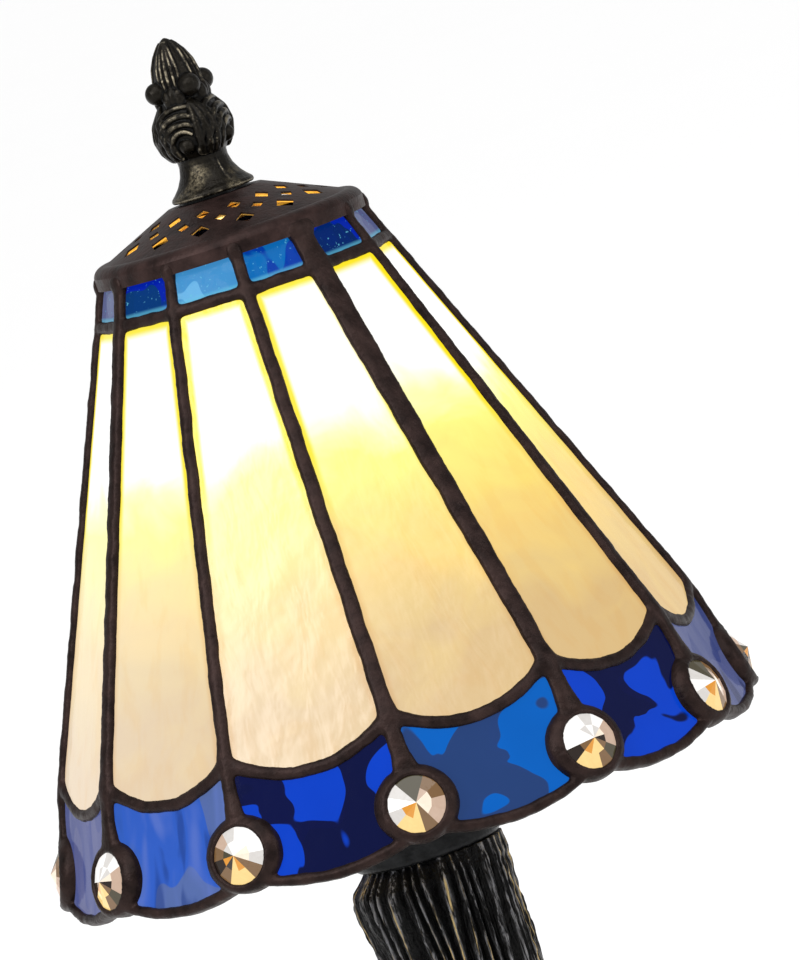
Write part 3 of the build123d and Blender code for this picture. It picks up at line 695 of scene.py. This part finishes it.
def rib(number):
    """Solder rib down one corner, from a blob on the cap's lip to the jewel's ring."""
    degrees = FRONT + SECTOR * number
    drift = wobble(100 + number, 0.020)
    swell = wobble(200 + number, 0.012)
    rise = wobble(300 + number, 0.009)
    across = sideways(degrees)
    wide_top, wide_bottom = (width * MM for width in RIB_WIDTHS.get(number, USUAL_RIB))
    lip = CAP_HIGH.x
    # Over the cap's lip: (radius, height, how proud it is, share of the width).
    top = (
        (lip - 0.9 * MM, CAP_LOW.z + 3.9 * MM, 0.3 * MM, 0.55),
        (lip - 0.5 * MM, CAP_LOW.z + 3.1 * MM, 0.8 * MM, 0.95),
        (lip - 0.3 * MM, CAP_LOW.z + 1.9 * MM, 1.1 * MM, 1.18),
        (lip - 0.2 * MM, CAP_LOW.z + 0.8 * MM, 1.2 * MM, 1.22),
        (lip - 0.3 * MM, CAP_LOW.z - 0.3 * MM, 1.2 * MM, 1.12),
    )
    stations = []
    for radius, height, proud, share in top:
        stations.append((spot(radius, height, degrees), spot(1, 0, degrees), wide_top * share, proud))
    steps = 90
    start = CAP_LOW.z - 1.5 * MM
    for step in range(steps + 1):
        height = start + (RIB_END - start) * step / steps
        centre = spot(corner_radius(height), height, degrees) + across * (RIB_DRIFT * drift(height))
        # Wider where it runs into the lower seam and into the jewel's ring.
        blobs = 0.22 * nearness(height - LOW_SEAM[1], 2.5 * MM) + 0.45 * nearness(height - RIB_END, 4.0 * MM)
        width = wide_top + (wide_bottom - wide_top) * step / steps
        width *= 1 + 0.05 * swell(height) + blobs
        proud = BEAD_PROUD * (1 + BEAD_UNEVEN * rise(height))
        stations.append((centre, slope_normal(height, degrees), width, proud))
    return bead(stations)


def seam(number, end_height, middle_height, width, seed, reach=1.0):
    """Solder seam across one side, bowed down to its middle height, over a share of the side's width."""
    drift = wobble(seed + number, 0.016)
    swell = wobble(seed + 50 + number, 0.010)
    rise = wobble(seed + 90 + number, 0.008)
    middle = FRONT + SECTOR * (number + 0.5)
    stations = []
    steps = 36
    for step in range(steps + 1):
        share = reach * (-1 + 2 * step / steps)
        height = middle_height + (end_height - middle_height) * share * share
        length = share * corner_radius(height) * HALF_SIDE
        height += SEAM_DRIFT * drift(length)
        wide = width * (1 + 0.06 * swell(length) + 0.25 * nearness(1 - abs(share), 0.16))
        proud = BEAD_PROUD * (1 + BEAD_UNEVEN * rise(length))
        normal = slope_normal(height, middle, APOTHEM)
        stations.append((side_point(number, height, share), normal, wide, proud))
    return bead(stations)


def jewel_place(number):
    """Frame of one jewel's seat: local z is its axis, pointing outwards, and local y is upwards."""
    degrees = FRONT + SECTOR * number
    out = slope_normal(JEWEL_RING[1], degrees)
    across = sideways(degrees)
    up = out.cross(across)
    seat = spot(*JEWEL_RING, degrees)
    turn = Matrix((across, up, out)).transposed().to_4x4()
    return Matrix.Translation(seat) @ turn


def bezel(number):
    """Domed solder ring round a jewel, falling away to the panes beside it."""
    draw = random.Random(400 + number)
    swing, depth = draw.uniform(0, 6.28), draw.uniform(0.2, 0.5) * MM
    profile = [(7.6, -5.0), (7.6, 1.25), (7.75, 1.6), (8.6, 1.7), (9.6, 1.1), (10.4, 0.4), (11.0, -0.5)]
    profile += [(11.2, -1.5), (11.2, -3.6), (10.4, -5.0)]
    points, faces = turned([(r * MM, h * MM) for r, h in profile])
    place = jewel_place(number)
    uneven = []
    for point in points:
        turn = math.atan2(point.y, point.x)
        reach = math.hypot(point.x, point.y)
        outer = max(0.0, (reach - 9.5 * MM) / (2.8 * MM))
        grow = 1 + outer * depth / BEZEL_RADIUS * math.sin(2 * turn + swing)
        # Drawn in underneath, where it runs out along the rim.
        grow -= outer * BEZEL_DRAWN_IN * max(0.0, -math.sin(turn)) ** 2
        uneven.append(place @ Vector((point.x * grow, point.y * grow, point.z)))
    return uneven, faces


def solder_work():
    """All the solder of the shade, one body: ribs, seams, rim and jewel rings run into each other."""
    parts = []
    for number in range(SIDES):
        parts.append(rib(number))
        parts.append(seam(number, TOP_SEAM[1], TOP_SEAM[1], SEAM_WIDTH, 500))
        parts.append(seam(number, LOW_SEAM[1], LOW_SEAM[1] - LOW_SEAM_SAG, LOW_SEAM_WIDTH, 700))
        parts.append(seam(number, RIM_CORNER_Z, RIM_MIDDLE_Z, RIM_WIDTH, 900, RIM_REACH))
        parts.append(bezel(number))
    piece = fused("solder_work", parts, SOLDER_VOXEL, 3)
    roughen(piece, ((2.2 * MM, 0.10 * MM), (1.0 * MM, 0.05 * MM)))
    return piece


# Light that a facet throws, by letter, and three patterns of twelve facets, anticlockwise from the
# right as seen from outside: the outer parts of the facets, then the parts beside the point.
TONES = {
    "w": (1.00, 0.99, 0.98),
    "s": (0.70, 0.68, 0.66),
    "d": (0.060, 0.050, 0.024),
    "b": (0.20, 0.11, 0.045),
    "k": (0.022, 0.014, 0.010),
    "g": (0.94, 0.67, 0.26),
    "o": (0.74, 0.31, 0.035),
    "p": (0.58, 0.42, 0.32),
    "c": (0.97, 0.85, 0.70),
}
PATTERNS = (
    ("bbddswsggbpp", "cpddswoogbcc"),
    ("wwwspbkbggbs", "cwwwsdokgobc"),
    ("pwswwwkggbdp", "cswswwboggbk"),
)
JEWEL_PATTERN = (0, 2, 0, 1, 2, 0, 1, 2, 1, 0, 2, 1)
BACK_TONE = (0.3, 0.24, 0.16)
GIRDLE_TONE = (0.5, 0.45, 0.4)
INNER_SHARE = 0.52
GIRDLE = (0.4 * MM, 1.0 * MM)
CRYSTAL_POINT = 4.0 * MM
CRYSTAL_BACK = -2.4 * MM


def crystals():
    """Twelve-sided cut jewels: facets that meet in a point outside, and a flatter cone at the back."""
    parts = []
    tones = []
    count = 12
    for number in range(SIDES):
        place = jewel_place(number)
        outer_tones, inner_tones = PATTERNS[JEWEL_PATTERN[number]]

        def ring(share, height):
            turns = [360 * index / count for index in range(count)]
            return [place @ spot(JEWEL_RADIUS * share, height, turn) for turn in turns]

        inner_height = CRYSTAL_POINT + INNER_SHARE * (GIRDLE[1] - CRYSTAL_POINT)
        points = [place @ spot(0, CRYSTAL_BACK, 0)]
        points += ring(1, GIRDLE[0]) + ring(1, GIRDLE[1]) + ring(INNER_SHARE, inner_height)
        tip = len(points)
        points.append(place @ spot(0, CRYSTAL_POINT, 0))
        facets = []
        low, high, inner = 1, 1 + count, 1 + 2 * count
        for index in range(count):
            following = (index + 1) % count
            girdle = (low + index, low + following, high + following, high + index)
            upper = (high + index, high + following, inner + following, inner + index)
            facets.append(((0, low + following, low + index), BACK_TONE))
            facets.append((girdle, GIRDLE_TONE))
            facets.append((upper, TONES[outer_tones[index]]))
            facets.append(((inner + index, inner + following, tip), TONES[inner_tones[index]]))
        parts.append((points, [face for face, tone in facets]))
        tones += [tone for face, tone in facets]
    piece = mesh_object("cut_crystals", *merged(parts), smooth=False)
    colours = piece.data.color_attributes.new("facet", "FLOAT_COLOR", "CORNER")
    for polygon, tone in zip(piece.data.polygons, tones):
        for corner in polygon.loop_indices:
            colours.data[corner].color = (*tone, 1)
    return piece


# ---- finial


# Finial's plain core as (height, radius) points in millimetres: foot, neck, bulb of leaves and bud.
FINIAL_PROFILE = ((0.0, 11.3), (0.5, 11.7), (1.3, 11.5), (2.4, 10.3), (4.0, 8.9), (6.5, 7.5), (9.0, 6.9))
FINIAL_PROFILE += ((10.8, 7.0), (12.0, 8.0), (14.2, 9.4), (17.8, 10.2), (21.4, 9.6), (24.6, 7.6), (26.4, 6.5))
FINIAL_PROFILE += ((28.0, 6.3), (30.0, 6.5), (33.0, 6.4), (36.4, 5.6), (39.6, 4.1), (42.2, 2.3), (43.5, 1.1))
FINIAL_PROFILE += ((44.0, 0.15),)


def finial_radius(height):
    """Radius of the finial's plain core at a height, in millimetres."""
    return float(np.interp(height, *zip(*FINIAL_PROFILE)))


def finial_point(degrees, height, lift=0.0):
    """Point on the finial's core at a direction and a height in millimetres, raised by a lift."""
    slope = (finial_radius(height + 0.3) - finial_radius(height - 0.3)) / 0.6
    tilt = math.atan(slope)
    radius = finial_radius(height) + lift * math.cos(tilt)
    rise = height - lift * math.sin(tilt)
    return spot(radius * MM, FINIAL_LOW.z + rise * MM, degrees)


def smooth_value(values, t):
    """Value on the smooth curve through four evenly spaced ones, a share t past the second."""
    a, b, c, d = values
    bend = (2 * a - 5 * b + 4 * c - d) * t * t + (3 * b - a - 3 * c + d) * t ** 3
    return 0.5 * (2 * b + (c - a) * t + bend)


LINE_STEPS = 28
FINIAL_VOXEL = 0.24 * MM
CREST_CURVATURE = (0.50, 1.15)


def finial_line(track, thickness, lift=0.1):
    """Raised line on the finial through (direction, height) points, thin at both ends."""
    last = len(track) - 1
    path, radii = [], []
    for place in np.linspace(0, last, LINE_STEPS):
        low = min(int(place), last - 1)
        near = [track[min(max(low + step, 0), last)] for step in (-1, 0, 1, 2)]
        degrees, height = [smooth_value(row, place - low) for row in zip(*near)]
        path.append(finial_point(degrees, height, lift))
        taper = math.sin(math.pi * min(max(place / last, 0.04), 0.96)) ** 0.35
        radii.append(thickness * MM * taper)
    return tube(path, radii)


# Arcs of a scroll: distance from its ball and thickness. Leaves beside it: spread and thickness, then
# each one's way down as (offset, share of the spread, height).
SCROLL_HEIGHT = 14.4
SCROLL_ARCS = ((4.0, 0.85), (6.0, 0.95), (8.1, 1.0), (10.4, 0.9))
LEAVES = ((20, 1.15), (35, 1.2), (50, 1.1), (63, 0.9))
LEAF_TRACK = ((22, 0.20, 26.4), (14, 0.62, 22.6), (7, 0.95, 17.8), (6, 1.0, 14.0), (9, 0.95, 11.2))
# Balls and pods under the bud: (direction from the ball, height, lift, radius across, radius upwards).
BUD_BALLS = ((0, 30.2, 0.6, 3.1, 3.1), (-31, 27.4, 0.0, 1.7, 2.8), (31, 27.4, 0.0, 1.7, 2.8))
BUD_BALLS += ((45, 28.0, 0.1, 1.5, 3.0),)
# Ribs of the bud between two balls: direction from the first ball, thickness and foot's height, then
# each one's way up as (share of its distance from the middle rib, height).
BUD_RIBS = ((18, 0.42, 32.5), (31, 0.48, 30.5), (45, 0.60, 29.5), (59, 0.48, 30.5), (72, 0.42, 32.5))
BUD_TRACK = ((1.05, 35.5), (0.95, 39.2), (0.80, 42.9))


def finial_mesh():
    """Bud finial: turned foot, a bulb of scroll leaves, a ring of small balls and a ribbed bud."""
    heights = np.concatenate([np.linspace(0, 28, 60), np.linspace(28.4, 44.0, 45)])
    profile = [(0.0, FINIAL_LOW.z)] + [(finial_radius(h) * MM, FINIAL_LOW.z + h * MM) for h in heights]
    profile.append((0.0, FINIAL_HIGH.z))
    parts = [turned(profile, count=64)]
    for turn in (FRONT - 20, FRONT + 70, FRONT + 160, FRONT + 250):
        # Scroll: a ball low on the bulb and broad arcs that curl over it.
        parts.append(ball(finial_point(turn, SCROLL_HEIGHT, -0.8), (2.3 * MM,) * 3))
        for reach, thickness in SCROLL_ARCS:
            track = []
            for step in range(9):
                angle = math.radians(236 - 24.0 * step)
                height = min(max(SCROLL_HEIGHT + 1.02 * reach * math.sin(angle), 11.6), 26.0)
                radius = max(finial_radius(height), 6.5)
                track.append((turn + math.degrees(reach * math.cos(angle) / radius), height))
            parts.append(finial_line(track, thickness, 0.25))
        # Rib bundle: broad leaves that fall from the notch and swing to one side.
        for spread, thickness in LEAVES:
            track = [(turn + offset + share * spread, height) for offset, share, height in LEAF_TRACK]
            parts.append(finial_line(track, thickness, 0.15))
        # Ring of balls under the bud, with small pods between them.
        ball_turn = turn + 42
        for offset, height, lift, wide, tall in BUD_BALLS:
            centre = finial_point(ball_turn + offset, height, lift)
            parts.append(ball(centre, (wide * MM, wide * MM, tall * MM)))
        # Bud ribs from between the balls up to the tip.
        for offset, thickness, foot in BUD_RIBS:
            track = [(ball_turn + offset, foot)]
            for share, height in BUD_TRACK:
                track.append((ball_turn + 45 + (offset - 45) * share, height))
            parts.append(finial_line(track, thickness, 0.15))
    # Casting seam down the neck.
    parts.append(finial_line([(FRONT + 32, 1.5), (FRONT + 31, 6.0), (FRONT + 30, 12.0)], 0.22, 0.05))
    piece = fused("finial_bud", parts, FINIAL_VOXEL, 1)
    mark_crests(piece, *CREST_CURVATURE)
    return piece


def mark_crests(piece, low, high):
    """Stores how sharply each point stands out or lies in, 0 to 1, from curvatures per millimetre."""
    mesh = piece.data
    count = len(mesh.vertices)
    points = np.empty(3 * count)
    normals = np.empty(3 * count)
    mesh.vertices.foreach_get("co", points)
    mesh.vertices.foreach_get("normal", normals)
    points, normals = points.reshape(-1, 3) / MM, normals.reshape(-1, 3)
    ends = np.empty(2 * len(mesh.edges), dtype=np.int64)
    mesh.edges.foreach_get("vertices", ends)
    first, second = ends.reshape(-1, 2).T
    span = ((points[second] - points[first]) ** 2).sum(axis=1)
    lean = np.zeros(count)
    reach = np.zeros(count)
    for start, end in ((first, second), (second, first)):
        out = ((points[start] - points[end]) * normals[start]).sum(axis=1)
        np.add.at(lean, start, 2 * out)
        np.add.at(reach, start, span)
    sharp = lean / np.maximum(reach, 1e-9)
    for _ in range(2):
        spread = sharp.copy()
        shares = np.ones(count)
        for start, end in ((first, second), (second, first)):
            np.add.at(spread, start, sharp[end])
            np.add.at(shares, start, 1)
        sharp = spread / shares
    store(piece, "crest", np.clip((sharp - low) / (high - low), 0, 1))
    store(piece, "hollow", np.clip(-sharp / low, 0, 1))


# ---- trunk

# Trunk's mean outline as (height, radius) points in millimetres, up from the foot.
TRUNK_PROFILE = ((2, 55.0), (7, 50.5), (15, 40.5), (28, 30.6), (48, 24.3), (80, 20.8), (112, 20.1))
TRUNK_PROFILE += ((130, 20.9), (139, 21.6), (143, 21.1), (148, 18.6))
ROOTS = 7
BARK_RIDGES = 36
BARK_FURROWS = 98
RIDGE_DEPTH = 2.9
FURROW_DEPTH = 0.40
CRUMBLE_DEPTH = 0.15
ROOT_REACH = 6.0


def trunk_mesh():
    """Tree trunk: uneven deep ridges with fine furrows, a rounded top edge and spread roots."""
    columns = 640
    turn = np.linspace(0, 2 * math.pi, columns, endpoint=False)
    foot = np.linspace(2, 30, 60, endpoint=False)
    stem = np.linspace(30, 136, 120, endpoint=False)
    height = np.concatenate([foot, stem, np.linspace(136, 148, 50)])
    angle, level = np.meshgrid(turn, height)

    def waves(count, around, along, seed):
        pick = random.Random(seed)
        total = np.zeros_like(angle)
        for _ in range(count):
            across = pick.randint(*around)
            rate = pick.uniform(*along) / 100
            phase = pick.uniform(0, 2 * math.pi)
            total += np.sin(across * angle + 2 * math.pi * rate * level * pick.choice((-1, 1)) + phase)
        return total / math.sqrt(count)

    mean = np.interp(level, *zip(*TRUNK_PROFILE))
    drift = 0.60 * waves(4, (2, 6), (0.1, 0.5), 21) + 0.32 * waves(4, (8, 16), (0.3, 1.0), 22)
    ridge_place = BARK_RIDGES * angle / (2 * math.pi) + drift
    saw = np.abs(2 * (ridge_place % 1) - 1)
    ridge = saw ** 0.6
    furrow_place = BARK_FURROWS * angle / (2 * math.pi) + 0.9 * drift
    furrow_place += 0.4 * waves(4, (10, 30), (0.6, 3.0), 23)
    furrow = np.abs(2 * (furrow_place % 1) - 1)
    uneven = 1 + 0.34 * waves(5, (3, 12), (0.2, 1.2), 24)
    top_fade = np.clip((149.0 - level) / 8, 0.35, 1)
    bark = (RIDGE_DEPTH * ridge - 1.9) * uneven * top_fade + FURROW_DEPTH * (furrow - 0.5) * top_fade
    crumble = CRUMBLE_DEPTH * waves(8, (40, 120), (6, 24), 25) * top_fade
    root_share = np.clip((50 - level) / 48, 0, 1) ** 1.6
    roots = root_share * (ROOT_REACH * np.cos(ROOTS * angle + 0.7) + 2.0 * np.cos(3 * angle + 2.0))
    # The left shoulder is fuller and lower than the right one.
    shoulder = 1.7 * np.clip((level - 118) / 16, 0, 1) * np.cos(angle - math.radians(200))
    shoulder += 3.4 * np.clip((level - 141) / 7, 0, 1) * np.clip(np.cos(angle - math.radians(-15)), 0, 1)
    shoulder -= 2.2 * np.clip((level - 142) / 6, 0, 1) * np.clip(np.cos(angle - math.radians(200)), 0, 1)
    radius = (mean + bark + crumble + roots + shoulder) * MM
    points = np.stack([radius * np.cos(angle), radius * np.sin(angle), level * MM], axis=-1)
    skin_points, faces = skin(points.tolist(), "open")
    # Closed by a flat underside and a dished top round the pipe.
    bottom_centre = len(skin_points)
    top_centre = bottom_centre + 1
    skin_points += [(0, 0, TRUNK_LOW.z), (0, 0, TRUNK_HIGH.z)]
    last = bottom_centre - columns
    for column in range(columns):
        following = (column + 1) % columns
        faces.append((bottom_centre, following, column))
        faces.append((top_centre, last + column, last + following))
    piece = mesh_object("trunk_bark", skin_points, faces)
    crest = np.clip(saw * 0.85 + 0.18 * furrow, 0, 1).reshape(-1)
    store(piece, "crest", np.append(crest, (0.0, 0.0)))
    return piece


# ---- assembly


def paint(part, material):
    """Gives a CAD node or a new piece one material in place of its own."""
    part.data.materials.clear()
    part.data.materials.append(material)


def add_piece(piece, material, body, slot, *nodes):
    """Puts a new piece on a body, in place of the CAD nodes that it replaces."""
    paint(piece, material)
    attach(piece, body)
    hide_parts(*nodes)


cream = cream_glass()
cobalt = blue_glass("cobalt_glass", (0.0002, 0.048, 0.53), (0.0002, 0.003, 0.045), -0.050, 0.026, clear=0.03)
azure = blue_glass("azure_glass", (0.030, 0.115, 0.54), (0.095, 0.155, 0.38), 0.005, 0.024, 0.5, 0.55)
misty = blue_glass("misty_blue_glass", (0.020, 0.056, 0.19), (0.001, 0.128, 0.55), -0.064, 0.024, 1.3)
slate = blue_glass("slate_blue_glass", (0.045, 0.066, 0.22), (0.085, 0.105, 0.26), 0.02, 0.022, 0.5, 0.3)
lilac = blue_glass("lilac_glass", (0.105, 0.12, 0.29), (0.070, 0.090, 0.27), -0.06, 0.022, 0.5, 0.3)
solder = patina("solder_patina", SOLDER_BASE, 0.42, 0.5).material
brass = metal("drawn_brass", (0.72, 0.50, 0.20), 0.26)
zinc = metal("zinc_steel", (0.55, 0.56, 0.58), 0.32)
dark_metal = patina("collar_patina", (0.011, 0.0115, 0.012), 0.30, 0.5).material
plastic = plain("dark_plastic", (0.018, 0.016, 0.015), 0.40, 0.0012, 0.00004)

# Skirt tiles in order from the first side: the panes alternate between deep and hazy blues.
SKIRT_GLASS = (misty, cobalt, slate, cobalt, azure, cobalt, misty, cobalt, azure, lilac, azure, cobalt)
for number in range(1, SIDES + 1):
    paint(nodes[f"cream_panel_{number:02d}"], cream)
    paint(nodes[f"skirt_tile_{number:02d}"], SKIRT_GLASS[number - 1])
LOOKS = (
    (top_tile_glass(), ("top_tiles",)),
    (vent_sheet(), ("vent_cap",)),
    (solder, ("cap_ring",)),
    (dark_metal, ("finial_washer", "collar")),
    (brass, ("harp", "harp_saddle", "harp_ferrules", "harp_stud", "socket_cap", "socket_shell")),
    (brass, ("socket_screw_shell", "centre_contact")),
    (zinc, ("bulb_screw_cap", "bulb_contact", "lamp_pipe", "base_plate")),
    (zinc, ("pipe_nut_upper", "pipe_nut_lower", "lock_washer")),
    (plastic, ("socket_body", "switch_knob", "cord_bushing")),
    (plain("pressed_fibre", (0.22, 0.17, 0.11), 0.80, 0.0008, 0.0001), ("socket_liner",)),
    (plain("ballast_iron", (0.08, 0.08, 0.085), 0.65, 0.002, 0.0003), ("ballast",)),
    (plain("green_felt", (0.035, 0.075, 0.035), 0.95, 0.0007, 0.0004), ("felt_pad",)),
    (bulb_finish(), ("bulb_glass",)),
)
for look, names in LOOKS:
    for name in names:
        paint(nodes[name], look)

solder_nodes = ("solder_ribs", "top_seams", "scallop_seams", "rim_seams", "jewel_bezels")
add_piece(solder_work(), solder, "shade", "solder", *solder_nodes)
add_piece(crystals(), crystal_finish(), "shade", "crystal", "crystal_jewels")
bronze_finish = bronze("finial_bronze", (0.0075, 0.006, 0.004), (0.32, 0.275, 0.195))
add_piece(finial_mesh(), bronze_finish, "finial_body", "cast_bronze", "finial")
add_piece(trunk_mesh(), bark_paint(), "base", "trunk_finish", "trunk_body")


# ---- stage, light and camera


def lamp_light(name, kind, location, energy, colour=(1, 1, 1), **settings):
    """Light at a place, with the settings of its own kind."""
    data = bpy.data.lights.new(name, kind)
    data.energy = energy
    data.color = colour
    for key, value in settings.items():
        setattr(data, key, value)
    light = add_object(name, data)
    light.location = location
    return light


def softbox(name, location, target, size, energy):
    """Square white area light that looks at its target."""
    light = lamp_light(name, "AREA", location, energy, size=size)
    light.rotation_mode = "QUATERNION"
    light.rotation_quaternion = (Vector(target) - Vector(location)).to_track_quat("-Z", "Y")
    return light


floor = mesh_object("floor", [(-30, -30, 0), (30, -30, 0), (30, 30, 0), (-30, 30, 0)], [(0, 1, 2, 3)])
floor_finish = Finish("floor_paint", (0.97, 0.97, 0.97), Roughness=0.9)
floor_tone = floor_finish.mix(floor_finish.noise(0.5, 2.0, 0.55), (0.965,) * 3, (0.975,) * 3)
floor_finish.set("Base Color", floor_tone)
floor.data.materials.append(floor_finish.material)

world = bpy.data.worlds.new("studio")
scene.world = world
world.use_nodes = True
background = world.node_tree.nodes["Background"]
background.inputs["Color"].default_value = (1, 1, 1, 1)
background.inputs["Strength"].default_value = 0.50

shade_middle = Vector((0, 0, 0.24))
softbox("key", (-1.6, -1.5, 1.5), shade_middle, 1.0, 30)
softbox("fill", (1.9, -1.2, 0.9), shade_middle, 0.8, 12)
sun = lamp_light("sky_light", "SUN", (0, -2, 3), 2.1, angle=math.radians(60))
sun.rotation_euler = (math.radians(35), 0, 0)
bulb_middle = (BULB_HIGH.z + BULB_LOW.z) / 2 + 12 * MM
lamp_light("bulb_light", "POINT", (0, 0, bulb_middle), 1.2, (1.0, 0.80, 0.52), shadow_soft_size=0.02)

VIEW_AZIMUTH = -1.04
VIEW_ELEVATION = math.radians(5.01)
VIEW_ROLL = math.radians(-18.03)
VIEW_DISTANCE = 2.4387
VIEW_SIDE = 0.02387
VIEW_HEIGHT = JEWEL_RING[1] + 0.07411
VIEW_LENS = 336.3
back = spot(math.cos(VIEW_ELEVATION), math.sin(VIEW_ELEVATION), FRONT + VIEW_AZIMUTH)
right = sideways(FRONT + VIEW_AZIMUTH)
up = back.cross(right)
picture_x = right * math.cos(VIEW_ROLL) + up * math.sin(VIEW_ROLL)
picture_y = up * math.cos(VIEW_ROLL) - right * math.sin(VIEW_ROLL)
camera_data = bpy.data.cameras.new("camera")
camera_data.lens = VIEW_LENS
camera_data.sensor_width = 36
camera_data.clip_end = 100
camera = add_object("camera", camera_data)
camera.rotation_mode = "QUATERNION"
camera.rotation_quaternion = Matrix((picture_x, picture_y, back)).transposed().to_quaternion()
camera.location = Vector((0, 0, VIEW_HEIGHT)) + right * VIEW_SIDE + back * VIEW_DISTANCE
scene.camera = camera
scene.view_settings.view_transform = "Standard"
